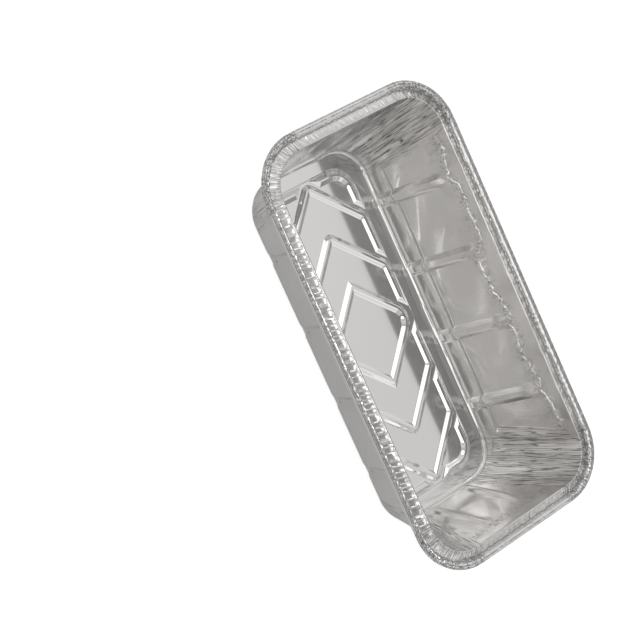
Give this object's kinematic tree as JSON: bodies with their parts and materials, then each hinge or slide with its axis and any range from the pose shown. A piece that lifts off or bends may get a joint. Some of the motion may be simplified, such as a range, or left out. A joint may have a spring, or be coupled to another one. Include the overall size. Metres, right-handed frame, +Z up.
{
  "type": "foil loaf pan",
  "caption": "Open oblong baking pan pressed from thin foil, with sloping gathered walls, a stiffened floor and a crimped, rolled rim.",
  "frame": {"origin": "middle of the face the pan stands on, under the floor", "axes": "+X along the length, +Y across the width, +Z up out of the pan's mouth"},
  "size_m": [0.218, 0.115, 0.0558],
  "materials": {
    "foil": "bright rolled foil"
  },
  "bodies": {
    "root": {"loaf_pan": "foil"}
  },
  "joints": []
}
